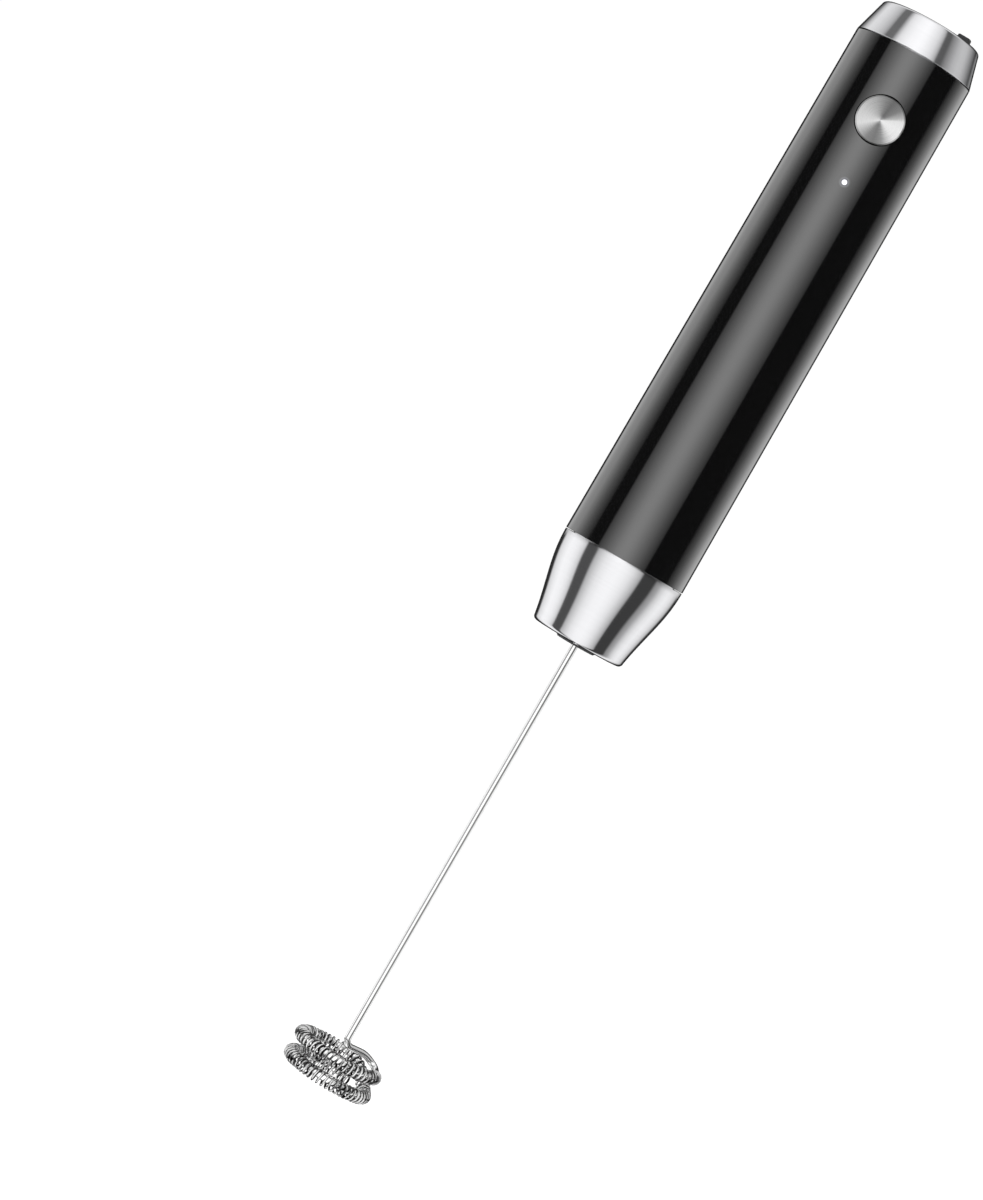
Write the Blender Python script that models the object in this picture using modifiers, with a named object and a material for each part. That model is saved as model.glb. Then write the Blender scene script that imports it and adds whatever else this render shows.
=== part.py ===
"""Rechargeable hand-held milk frother, built as separate pieces.

Metres, +Z up the handle, whisk at the bottom. The button and its light face -Y.
The named sizes below are in millimetres; every helper turns them into metres. Heights
count from a line WHISK_BOTTOM below the whisk. The finished part is set down by that
much, so that its origin is level with the whisk's lowest point.
"""

import math

import bmesh
import bpy
from mathutils import Vector

MM = 0.001
GAP = 0.3                    # clearance left between two neighbouring pieces

# Whisk: one wire that bends out at the foot and carries an open coil spring
WHISK_BOTTOM = 1.8
WIRE_RADIUS = 0.75
RING_RADIUS = 8.8
RING_PITCH = 4.55
RING_LEAN = 0.6              # each loop of the ring leans up this far from +X to -X
RING_TURNS = 1.84
RING_STEP = (0.79, 0.985)    # the part of the first loop where the wire steps down to the second
SPRING_RADIUS = 1.6
SPRING_WALL = 0.4
SPRING_HANG = 0.3            # the loose spring hangs this far below the wire inside it
FOOT_BEND = 1.8
FOOT_RISE = 2.45             # the wire leaves the foot this much above the ring
FOOT_TURN = 18               # and follows the ring for these degrees before the spring
FOOT_FALL = (0.25, 0.95)     # the part of the way out where it comes down to the ring
RING_BEND = 1.6
RING_STEPS = 24              # points in one turn of the ring

# Outer casing
NOSE_BOTTOM = 106.7
NOSE_LENGTH = 19.6
BARREL_LENGTH = 118.15
CAP_HEIGHT = 7.7
SEAM_BOTTOM = NOSE_BOTTOM + NOSE_LENGTH
SEAM_TOP = SEAM_BOTTOM + BARREL_LENGTH
CAP_TOP = SEAM_TOP + CAP_HEIGHT
BARREL_RADIUS_TOP = 13.2
BARREL_RADIUS_BOTTOM = 13.8
BARREL_WALL = 1.6
NOSE_RADIUS_BOTTOM = 10.4
NOSE_HOLE = 5.1
CAP_RADIUS_TOP = 11.3
CAP_EDGE = 0.8
SPIGOT_DEPTH = 3.0
SPIGOT_WALL = 1.0
CASING_STEPS = 40

# Push-in whisk connector and the socket that drives it
COLLAR_BOTTOM = NOSE_BOTTOM - 0.6
COLLAR_HEIGHT = 6.9
COLLAR_RADIUS = 4.55
COLLAR_RADIUS_TOP = 4.3
STEM_LENGTH = 18.7
STEM_RADIUS = 3.0
STEM_RADIUS_TOP = 2.8
WIRE_GRIP = 14.0             # length of wire held in the connector
SOCKET_RADIUS = 4.6
SOCKET_TOP = 138.0
SEAL_BOTTOM = 118.0
SEAL_RADIUS = 10.0

# Motor
MOTOR_BOTTOM = 140.5
MOTOR_LENGTH = 25.0
MOTOR_RADIUS = 10.2
MOTOR_FLAT = 7.7
MOTOR_WALL = 0.7
SHAFT_RADIUS = 1.0
SHAFT_BOTTOM = 134.0
SHAFT_TOP = 169.0
BUSH_RADIUS = 2.8
ARMATURE_LENGTH = 12.0
ARMATURE_RADIUS = 6.2
COMMUTATOR_BOTTOM = 160.4
COMMUTATOR_RADIUS = 2.3
BRUSH_BOTTOM = 161.0
BRUSH_HEIGHT = 2.2
CRADLE_RADIUS = 11.7
CRADLE_LENGTH = 20.0
MAGNET_LENGTH = 14.0

# Battery, tray and circuit board
CELL_RADIUS = 7.1
CELL_LENGTH = 50.0
CELL_BOTTOM = 174.0
CELL_Y = 3.0
TRAY_BOTTOM = 172.0
TRAY_RADIUS = 11.3
TRAY_WALL = 0.9
TRAY_FLOOR = 1.2
TRAY_EDGE_Y = -3.9
BOARD_HALF_WIDTH = 7.5
BOARD_FRONT = -5.4
BOARD_BACK = -4.4
BOARD_BOTTOM = 204.8
BOARD_TOP = 248.5
SCREW_X = 6.2
SCREW_Z = 238.0
LEDGE_BOTTOM = 208.0
LEAD_RADIUS = 0.5

# Button and light
BUTTON_Z = 229.1
BUTTON_RADIUS = 5.05
BUTTON_FACE = -13.4
BUTTON_THICKNESS = 1.0
CARRIER_BACK = -8.5
PLUNGER_BACK = -7.1
LIGHT_Z = 214.7
LIGHT_RADIUS = 0.65
LIGHT_BACK = -6.9

# Charging port and its rubber cover
PORT_Y = -2.7
PORT_HALF = (4.47, 1.63)
PORT_LENGTH = 7.3
PORT_TOP = CAP_TOP - 1.65
COVER_LEFT = -7.3
COVER_RIGHT = 8.6
COVER_HALF_WIDTH = 3.2
COVER_THICKNESS = 0.9
COVER_HINGE_X = -7.6
LIP_LENGTH = 3.4
LIP_HEIGHT = 1.3


# ---- helpers -------------------------------------------------------------------------

def clear_scene():
    for obj in list(bpy.data.objects):
        bpy.data.objects.remove(obj, do_unlink=True)


def new_collection(name):
    group = bpy.data.collections.new(name)
    bpy.context.scene.collection.children.link(group)
    return group


def finish(name, colour, roughness, metallic=0.0):
    made = bpy.data.materials.new(name)
    made.use_nodes = True
    shader = made.node_tree.nodes["Principled BSDF"]
    shader.inputs["Base Color"].default_value = (*colour, 1.0)
    shader.inputs["Roughness"].default_value = roughness
    shader.inputs["Metallic"].default_value = metallic
    return made


def placed(location):
    return (Vector(location) - Vector((0, 0, WHISK_BOTTOM))) * MM


def add_object(name, data, material, location=(0, 0, 0), facing_front=False):
    obj = bpy.data.objects.new(name, data)
    obj.location = placed(location)
    if facing_front:
        obj.rotation_euler = (math.radians(90), 0, 0)
    if material is None:
        cutters.objects.link(obj)
        obj.hide_render = True
        obj.display_type = "WIRE"
    else:
        data.materials.append(material)
        pieces.objects.link(obj)
    return obj


def mesh_object(name, shape, material, location=(0, 0, 0), facing_front=False):
    mesh = bpy.data.meshes.new(name)
    bmesh.ops.recalc_face_normals(shape, faces=shape.faces)
    shape.to_mesh(mesh)
    shape.free()
    mesh.shade_smooth()
    mesh.set_sharp_from_angle(angle=math.radians(35))
    return add_object(name, mesh, material, location, facing_front)


# A profile of (radius, height) points turned about the local Z axis. It runs down the
# outer side and back up the inner side, or starts and ends on the axis.
def turned(name, profile, material, base=0.0, steps=24, location=None, facing_front=False):
    mesh = bpy.data.meshes.new(name)
    points = [(radius * MM, 0, height * MM) for radius, height in profile]
    edges = [(i, i + 1) for i in range(len(points) - 1)]
    if profile[0][0] > 0 or profile[-1][0] > 0:
        edges.append((len(points) - 1, 0))
    mesh.from_pydata(points, edges, [])
    obj = add_object(name, mesh, material, location or (0, 0, base), facing_front)
    screw = obj.modifiers.new("Turn", "SCREW")
    screw.steps = steps
    screw.render_steps = steps
    screw.use_merge_vertices = True
    screw.merge_threshold = 0.00002
    screw.use_smooth_shade = True
    return obj


# A cylinder whose bottom face is at the location; facing_front points it at -Y.
def rod(name, radius, length, material, location, segments=20, facing_front=False, flat=None):
    shape = bmesh.new()
    bmesh.ops.create_cone(shape, cap_ends=True, segments=segments, radius1=radius * MM,
                          radius2=radius * MM, depth=length * MM)
    bmesh.ops.translate(shape, verts=shape.verts, vec=(0, 0, length * MM / 2))
    if flat:
        for vert in shape.verts:
            vert.co.y = max(-flat * MM, min(flat * MM, vert.co.y))
    return mesh_object(name, shape, material, location, facing_front)


def block(name, low, high, material, bevel=0.0):
    low, high = Vector(low), Vector(high)
    shape = bmesh.new()
    bmesh.ops.create_cube(shape, size=1.0)
    bmesh.ops.scale(shape, verts=shape.verts, vec=(high - low) * MM)
    obj = mesh_object(name, shape, material, (low + high) / 2)
    if bevel:
        rounding = obj.modifiers.new("Round", "BEVEL")
        rounding.width = bevel * MM
        rounding.segments = 2
    return obj


# A box with fully rounded ends along X, from one height to another.
def stadium(name, low, high, material, segments=6):
    low, high = Vector(low), Vector(high)
    size = high - low
    shape = bmesh.new()
    bmesh.ops.create_cube(shape, size=1.0)
    bmesh.ops.scale(shape, verts=shape.verts, vec=size * MM)
    upright = [e for e in shape.edges if abs(e.verts[0].co.z - e.verts[1].co.z) > size.z * MM / 2]
    bmesh.ops.bevel(shape, geom=upright, offset=size.y * MM * 0.499, offset_type="OFFSET",
                    affect="EDGES", segments=segments, profile=0.5)
    return mesh_object(name, shape, material, (low + high) / 2)


def wire(name, points, radius, material, caps=True, sides=2):
    curve = bpy.data.curves.new(name, "CURVE")
    curve.dimensions = "3D"
    curve.bevel_depth = radius * MM
    curve.bevel_resolution = sides
    curve.use_fill_caps = caps
    spline = curve.splines.new("POLY")
    spline.points.add(len(points) - 1)
    for point, place in zip(spline.points, points):
        point.co = (*(Vector(place) * MM), 1)
        point.radius = 1
    return add_object(name, curve, material)


def plate(name, outlines, thickness, material, base):
    curve = bpy.data.curves.new(name, "CURVE")
    curve.dimensions = "2D"
    curve.fill_mode = "BOTH"
    curve.extrude = thickness * MM / 2
    for outline in outlines:
        spline = curve.splines.new("POLY")
        spline.points.add(len(outline) - 1)
        for point, place in zip(spline.points, outline):
            point.co = (place[0] * MM, place[1] * MM, 0, 1)
        spline.use_cyclic_u = True
    return add_object(name, curve, material, (0, 0, base + thickness / 2))


def combine(obj, other, operation="DIFFERENCE"):
    step = obj.modifiers.new(other.name, "BOOLEAN")
    step.operation = operation
    step.solver = "EXACT"
    step.object = other


def joint(name, location=(0, 0, WHISK_BOTTOM), parent=None):
    empty = bpy.data.objects.new(name, None)
    empty.empty_display_size = 0.01
    empty.location = placed(location)
    pieces.objects.link(empty)
    if parent:
        ride(empty, parent)
    return empty


# Hangs a piece on a joint without moving it; the joints are not turned.
def ride(obj, carrier):
    place = Vector()
    step = carrier
    while step:
        place += step.location
        step = step.parent
    obj.parent = carrier
    obj.location -= place


def arc(centre, radius, first, last, count):
    angles = [math.radians(first + (last - first) * i / count) for i in range(count + 1)]
    return [(centre[0] + radius * math.cos(a), centre[1] + radius * math.sin(a)) for a in angles]


def bezier(corners, count):
    made = []
    for i in range(count + 1):
        t = i / count
        weights = ((1 - t) ** 3, 3 * t * (1 - t) ** 2, 3 * t * t * (1 - t), t ** 3)
        made.append(tuple(sum(w * c[k] for w, c in zip(weights, corners)) for k in (0, 1)))
    return made


# The points of a lead through a few places, rounded by a Catmull-Rom curve.
def smooth_route(places, per_span=5):
    places = [Vector(p) for p in places]
    padded = [2 * places[0] - places[1], *places, 2 * places[-1] - places[-2]]
    made = []
    for a, b, c, d in zip(padded, padded[1:], padded[2:], padded[3:]):
        for i in range(per_span):
            t = i / per_span
            made.append(0.5 * (2 * b + (c - a) * t + (2 * a - 5 * b + 4 * c - d) * t * t
                               + (3 * b - a - 3 * c + d) * t ** 3))
    return [*made, places[-1]]


# ---- casing --------------------------------------------------------------------------

def barrel_radius(height):
    share = (height - SEAM_BOTTOM) / BARREL_LENGTH
    return BARREL_RADIUS_BOTTOM + (BARREL_RADIUS_TOP - BARREL_RADIUS_BOTTOM) * share


def make_barrel():
    top = BARREL_LENGTH - GAP
    profile = [
        (BARREL_RADIUS_TOP, top),
        (BARREL_RADIUS_BOTTOM, 0),
        (BARREL_RADIUS_BOTTOM - BARREL_WALL, 0),
        (BARREL_RADIUS_TOP - BARREL_WALL, top),
    ]
    gloss = finish("gloss_black", (0.012, 0.012, 0.014), 0.12)
    barrel = turned("barrel", profile, gloss, base=SEAM_BOTTOM + GAP / 2, steps=CASING_STEPS)
    well = rod("button_hole", BUTTON_RADIUS + GAP, 6.0, None, (0, -9.0, BUTTON_Z),
               segments=36, facing_front=True)
    light = rod("light_hole", LIGHT_RADIUS + GAP, 6.0, None, (0, -9.0, LIGHT_Z), facing_front=True)
    combine(barrel, well)
    combine(barrel, light)


def make_top_cap():
    bottom = GAP / 2
    roof = 2.0
    spigot = BARREL_RADIUS_TOP - BARREL_WALL - GAP
    edge = arc((CAP_RADIUS_TOP - CAP_EDGE, CAP_HEIGHT - CAP_EDGE), CAP_EDGE, 90, 14, 3)
    profile = [
        (0, CAP_HEIGHT),
        *edge,
        (BARREL_RADIUS_TOP, bottom),
        (spigot, bottom),
        (spigot, -SPIGOT_DEPTH),
        (spigot - SPIGOT_WALL, -SPIGOT_DEPTH),
        (spigot - SPIGOT_WALL, 2.0),
        (CAP_RADIUS_TOP - 1.7, CAP_HEIGHT - roof),
        (0, CAP_HEIGHT - roof),
    ]
    chrome = finish("satin_chrome", (0.78, 0.78, 0.80), 0.16, 1.0)
    cap = turned("top_cap", profile, chrome, base=SEAM_TOP, steps=CASING_STEPS)
    pocket = stadium("cover_pocket",
                     (COVER_LEFT - 2.6, PORT_Y - COVER_HALF_WIDTH - GAP, CAP_TOP - COVER_THICKNESS - 0.2),
                     (COVER_RIGHT + GAP, PORT_Y + COVER_HALF_WIDTH + GAP, CAP_TOP + 2), None)
    mouth = stadium("port_hole",
                    (-PORT_HALF[0] - GAP, PORT_Y - PORT_HALF[1] - GAP, CAP_TOP - 5),
                    (PORT_HALF[0] + GAP, PORT_Y + PORT_HALF[1] + GAP, CAP_TOP + 1), None)
    combine(cap, pocket)
    combine(cap, mouth)


def make_nose_cone():
    top = NOSE_LENGTH - GAP / 2
    spigot = BARREL_RADIUS_BOTTOM - BARREL_WALL - GAP
    corner = 1.0
    sweep = bezier([(BARREL_RADIUS_BOTTOM - 0.05, top), (BARREL_RADIUS_BOTTOM - 0.05, 12.8),
                    (11.8, 8.6), (NOSE_RADIUS_BOTTOM + 0.1, corner)], 8)
    foot = arc((NOSE_RADIUS_BOTTOM - corner + 0.1, corner), corner, -15, -90, 3)
    profile = [
        (spigot, NOSE_LENGTH + SPIGOT_DEPTH),
        (spigot, top),
        *sweep,
        *foot,
        (NOSE_HOLE, 0),
        (NOSE_HOLE, 1.8),
        (8.4, 1.8),
        (10.6, 12.0),
        (spigot - SPIGOT_WALL, NOSE_LENGTH),
        (spigot - SPIGOT_WALL, NOSE_LENGTH + SPIGOT_DEPTH),
    ]
    chrome = finish("polished_chrome", (0.80, 0.80, 0.82), 0.14, 1.0)
    turned("nose_cone", profile, chrome, base=NOSE_BOTTOM, steps=CASING_STEPS)


def make_splash_seal():
    inner = SOCKET_RADIUS + GAP
    profile = [(SEAL_RADIUS, 1.4), (SEAL_RADIUS, 0), (inner + 0.8, 0), (inner, -1.6), (inner, -0.8),
               (inner + 0.4, 1.4)]
    rubber = finish("seal_rubber", (0.02, 0.02, 0.02), 0.8)
    turned("splash_seal", profile, rubber, base=SEAL_BOTTOM)


# ---- whisk ---------------------------------------------------------------------------

# How far the ring has come down after some turns.
def eased(share, start, end):
    step = min(1, max(0, (share - start) / (end - start)))
    return step * step * (3 - 2 * step)


def ring_drop(turned_by):
    lean = RING_LEAN * (1 - math.cos(2 * math.pi * turned_by)) / 2
    return RING_PITCH * eased(turned_by, *RING_STEP) - lean


# The centre line of the ring: angle 0 is at +X, and it runs through the front (-Y) first.
def ring_points(radius, start_height, turns):
    count = round(RING_STEPS * turns)
    made = []
    for i in range(count + 1):
        turned_by = turns * i / count
        angle = -2 * math.pi * turned_by
        made.append((radius * math.cos(angle), radius * math.sin(angle),
                     start_height - ring_drop(turned_by)))
    return made


def make_whisk():
    steel = finish("whisk_wire_steel", (0.62, 0.62, 0.63), 0.22, 1.0)
    spring_start = WHISK_BOTTOM + SPRING_RADIUS + RING_PITCH
    ring_start = spring_start + SPRING_HANG
    foot = ring_start + FOOT_RISE
    wire_top = COLLAR_BOTTOM + WIRE_GRIP
    down = [(0, 0, wire_top), (0, 0, foot + FOOT_BEND + 20), (0, 0, foot + FOOT_BEND)]
    outward = [(FOOT_BEND - x, 0, foot + FOOT_BEND - y)
               for x, y in arc((0, 0), FOOT_BEND, 15, 90, 5)]

    # The foot from above: straight out, round a bend, then along the ring to the spring
    bend_x = math.sqrt((RING_RADIUS - RING_BEND) ** 2 - RING_BEND ** 2)
    joins_at = math.degrees(math.atan2(RING_BEND, bend_x))
    plan = [(FOOT_BEND + (bend_x - FOOT_BEND) * i / 4, 0) for i in range(4)]
    plan += arc((bend_x, -RING_BEND), RING_BEND, 90, -joins_at, 4)
    plan += arc((0, 0), RING_RADIUS, -joins_at, -joins_at - FOOT_TURN, 3)[1:]
    walked = [0]
    for here, after in zip(plan, plan[1:]):
        walked.append(walked[-1] + math.dist(here, after))
    outward += [(x, y, foot - FOOT_RISE * eased(way / walked[-1], *FOOT_FALL))
                for (x, y), way in list(zip(plan, walked))[1:-1]]
    turn = math.radians(joins_at + FOOT_TURN)
    run_out = [(x * math.cos(turn) - y * math.sin(turn), x * math.sin(turn) + y * math.cos(turn), z)
               for x, y, z in outward]
    ring = ring_points(RING_RADIUS, ring_start, RING_TURNS - 0.02)
    wire("whisk_shaft", [*down, *run_out, *ring], WIRE_RADIUS, steel)

    coil_steel = finish("whisk_spring_steel", (0.55, 0.55, 0.56), 0.25, 1.0)
    spring = wire("whisk_spring", ring_points(RING_RADIUS, spring_start, RING_TURNS),
                  SPRING_RADIUS, coil_steel, caps=False, sides=3)
    shell = spring.modifiers.new("Wall", "SOLIDIFY")
    shell.thickness = SPRING_WALL * MM
    shell.offset = -1

    bore = WIRE_RADIUS + GAP
    stem_top = COLLAR_HEIGHT + STEM_LENGTH
    profile = [
        (0, stem_top),
        (STEM_RADIUS_TOP - 0.4, stem_top),
        (STEM_RADIUS_TOP, stem_top - 0.4),
        (STEM_RADIUS, COLLAR_HEIGHT),
        (COLLAR_RADIUS_TOP, COLLAR_HEIGHT),
        (COLLAR_RADIUS, 0.3),
        (COLLAR_RADIUS - 0.3, 0),
        (bore, 0),
        (bore, WIRE_GRIP + GAP),
        (0, WIRE_GRIP + GAP),
    ]
    nylon = finish("connector_nylon", (0.03, 0.03, 0.032), 0.5)
    turned("whisk_connector", profile, nylon, base=COLLAR_BOTTOM)


# ---- motor and drive -----------------------------------------------------------------

def make_drive_socket():
    bottom = COLLAR_BOTTOM + COLLAR_HEIGHT + GAP
    bore_top = COLLAR_BOTTOM + COLLAR_HEIGHT + STEM_LENGTH + GAP - bottom
    shaft_bore = SHAFT_RADIUS + GAP
    top = SOCKET_TOP - bottom
    profile = [
        (3.2, top),
        (3.2, bore_top + 1.2),
        (SOCKET_RADIUS, bore_top),
        (SOCKET_RADIUS, 0),
        (STEM_RADIUS + GAP, 0),
        (STEM_RADIUS + GAP, bore_top),
        (shaft_bore, bore_top + 1.2),
        (shaft_bore, top),
    ]
    acetal = finish("socket_acetal", (0.75, 0.74, 0.70), 0.4)
    turned("drive_socket", profile, acetal, base=bottom)


def make_motor_case():
    steel = finish("motor_steel", (0.55, 0.56, 0.57), 0.35, 1.0)
    can = rod("motor_can", MOTOR_RADIUS, MOTOR_LENGTH, steel, (0, 0, MOTOR_BOTTOM),
              segments=32, flat=MOTOR_FLAT)
    hollow = rod("can_hollow", MOTOR_RADIUS - MOTOR_WALL, MOTOR_LENGTH, None,
                 (0, 0, MOTOR_BOTTOM + MOTOR_WALL), segments=32, flat=MOTOR_FLAT - MOTOR_WALL)
    nose = rod("can_nose_hole", BUSH_RADIUS + GAP, 4.0, None, (0, 0, MOTOR_BOTTOM - 1.5))
    combine(can, hollow)
    combine(can, nose)

    nylon = finish("end_cap_nylon", (0.85, 0.84, 0.80), 0.5)
    lid_bottom = MOTOR_BOTTOM + MOTOR_LENGTH + GAP
    lid = rod("motor_end_cap", MOTOR_RADIUS, 2.2, nylon, (0, 0, lid_bottom),
              segments=32, flat=MOTOR_FLAT)
    lid_hole = rod("end_cap_hole", BUSH_RADIUS + GAP, 5.0, None, (0, 0, lid_bottom - 1))
    combine(lid, lid_hole)

    bronze = finish("bush_bronze", (0.60, 0.40, 0.18), 0.4, 1.0)
    bush = [(BUSH_RADIUS, 3.4), (BUSH_RADIUS, 0), (SHAFT_RADIUS + GAP, 0), (SHAFT_RADIUS + GAP, 3.4)]
    turned("front_bush", bush, bronze, base=MOTOR_BOTTOM - 1.2)
    turned("rear_bush", bush, bronze, base=lid_bottom - 0.6)

    copper = finish("terminal_brass", (0.80, 0.62, 0.30), 0.3, 1.0)
    terminal_bottom = lid_bottom + 2.2 + GAP
    for side, x in (("left", -5.2), ("right", 5.2)):
        block(f"motor_terminal_{side}", (x - 1, -5.8, terminal_bottom),
              (x + 1, -5.3, terminal_bottom + 2.8), copper)


def make_motor_cradle():
    rubber = finish("cradle_rubber", (0.05, 0.05, 0.05), 0.75)
    cradle = rod("motor_cradle", CRADLE_RADIUS, CRADLE_LENGTH, rubber, (0, 0, MOTOR_BOTTOM + 2.5),
                 segments=36)
    seat = rod("cradle_seat", MOTOR_RADIUS + GAP, CRADLE_LENGTH + 4, None, (0, 0, MOTOR_BOTTOM + 0.5),
               segments=32, flat=MOTOR_FLAT + GAP)
    combine(cradle, seat)


def make_magnets_and_brushes():
    ferrite = finish("magnet_ferrite", (0.06, 0.06, 0.065), 0.6)
    outer = MOTOR_RADIUS - MOTOR_WALL - GAP
    inner = ARMATURE_RADIUS + 0.4
    base = MOTOR_BOTTOM + 4.5
    for side, middle in (("left", 180), ("right", 0)):
        outline = [*arc((0, 0), outer, middle - 42, middle + 42, 8),
                   *arc((0, 0), inner, middle + 42, middle - 42, 8)]
        plate(f"magnet_{side}", [outline], MAGNET_LENGTH, ferrite, base)

    carbon = finish("brush_carbon", (0.04, 0.04, 0.042), 0.55)
    half = 0.7
    reach = COMMUTATOR_RADIUS + GAP + half
    for side, direction in (("front", -1), ("rear", 1)):
        y = direction * reach
        brush = block(f"brush_{side}", (-0.8, y - half, BRUSH_BOTTOM),
                      (0.8, y + half, BRUSH_BOTTOM + BRUSH_HEIGHT), carbon)
        near, far = sorted((y + direction * 0.5, y + direction * 1.1))
        arm = block(f"brush_arm_{side}", (-half, near, BRUSH_BOTTOM + 0.2),
                    (half, far, MOTOR_BOTTOM + MOTOR_LENGTH), None)
        combine(brush, arm, "UNION")


def pole_outline(middle):
    neck = 0.8
    hub, shoe = 2.4, 5.3
    half_shoe = 47
    hub_half = math.degrees(math.asin(neck / hub))
    shoe_half = math.degrees(math.asin(neck / shoe))
    centre = (0, 0)
    return [
        *arc(centre, hub, middle - hub_half, middle - hub_half, 1)[:1],
        *arc(centre, shoe, middle - shoe_half, middle - half_shoe, 3),
        *arc(centre, ARMATURE_RADIUS, middle - half_shoe, middle + half_shoe, 6),
        *arc(centre, shoe, middle + half_shoe, middle + shoe_half, 3),
        *arc(centre, hub, middle + hub_half, middle + hub_half, 1)[:1],
    ]


def make_rotor():
    bright = finish("shaft_steel", (0.66, 0.66, 0.67), 0.2, 1.0)
    rod("motor_shaft", SHAFT_RADIUS, SHAFT_TOP - SHAFT_BOTTOM, bright, (0, 0, SHAFT_BOTTOM), segments=16)

    iron = finish("lamination_iron", (0.35, 0.36, 0.37), 0.45, 1.0)
    core_base = MOTOR_BOTTOM + 5.5
    outline = [point for middle in (90, 210, 330) for point in pole_outline(middle)]
    shaft_hole = arc((0, 0), SHAFT_RADIUS + GAP, 345, 0, 15)
    plate("armature_core", [outline, shaft_hole], ARMATURE_LENGTH, iron, core_base)

    copper = finish("winding_copper", (0.72, 0.32, 0.12), 0.35, 1.0)
    middle_z = core_base + ARMATURE_LENGTH / 2
    for number, angle in enumerate((90, 210, 330), 1):
        winding = block(f"winding_{number}", (2.7, -2.2, middle_z - 8), (4.4, 2.2, middle_z + 8),
                        copper, bevel=0.5)
        window = block(f"winding_window_{number}", (1, -1.1, middle_z - 6.3), (7, 1.1, middle_z + 6.3),
                       None)
        turn_about_axis(winding, angle)
        turn_about_axis(window, angle)
        combine(winding, window)

    bore = SHAFT_RADIUS + GAP
    commutator = [(COMMUTATOR_RADIUS, 3.4), (COMMUTATOR_RADIUS, 0), (bore, 0), (bore, 3.4)]
    turned("commutator", commutator, finish("commutator_copper", (0.75, 0.42, 0.22), 0.3, 1.0),
           base=COMMUTATOR_BOTTOM)


def turn_about_axis(obj, degrees):
    angle = math.radians(degrees)
    x, y, z = obj.location
    obj.location = (x * math.cos(angle) - y * math.sin(angle),
                    x * math.sin(angle) + y * math.cos(angle), z)
    obj.rotation_euler = (0, 0, angle)


# ---- battery, tray and board ---------------------------------------------------------

def make_tray():
    inner = TRAY_RADIUS - TRAY_WALL
    height = SEAM_TOP - SPIGOT_DEPTH - 0.8 - TRAY_BOTTOM
    profile = [(0, TRAY_FLOOR), (inner, TRAY_FLOOR), (inner, height), (TRAY_RADIUS, height),
               (TRAY_RADIUS, 0), (0, 0)]
    grey = finish("tray_abs", (0.22, 0.22, 0.23), 0.55)
    tray = turned("chassis_tray", profile, grey, base=TRAY_BOTTOM, steps=32)
    front = block("tray_front_cut", (-15, -15, TRAY_BOTTOM - 1), (15, TRAY_EDGE_Y, SEAM_TOP), None)
    combine(tray, front)
    reach = inner - 0.1
    for side in (-1, 1):
        near, far = sorted((side * 5.0, side * reach))
        boss = block(f"board_boss_{near:.0f}", (near, BOARD_BACK + GAP, SCREW_Z - 2),
                     (far, -0.5, SCREW_Z + 2), None)
        hole = rod(f"boss_hole_{near:.0f}", 1.0, 3.5, None, (side * SCREW_X, -1.2, SCREW_Z),
                   segments=12, facing_front=True)
        near, far = sorted((side * 6.6, side * reach))
        ledge = block(f"board_ledge_{near:.0f}", (near, BOARD_BACK + GAP, LEDGE_BOTTOM),
                      (far, -3.0, LEDGE_BOTTOM + 3), None)
        combine(tray, boss, "UNION")
        combine(tray, ledge, "UNION")
        combine(tray, hole)


def make_battery():
    wrap = finish("cell_wrap", (0.05, 0.20, 0.42), 0.35)
    profile = [(0, CELL_LENGTH), (2.6, CELL_LENGTH), (2.6, CELL_LENGTH - 0.8),
               (CELL_RADIUS - 0.5, CELL_LENGTH - 0.8), (CELL_RADIUS, CELL_LENGTH - 1.3),
               (CELL_RADIUS, 0.4), (CELL_RADIUS - 0.4, 0), (0, 0)]
    turned("battery_cell", profile, wrap, location=(0, CELL_Y, CELL_BOTTOM))
    nickel = finish("tab_nickel", (0.65, 0.62, 0.55), 0.3, 1.0)
    top = CELL_BOTTOM + CELL_LENGTH + GAP
    block("battery_tab_positive", (-2, 0.5, top), (2, CELL_Y + 2, top + 0.25), nickel)
    low = TRAY_BOTTOM + TRAY_FLOOR
    block("battery_tab_negative", (-2, -5.2, low + 0.25), (2, CELL_Y + 1, low + 0.5), nickel)


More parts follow.
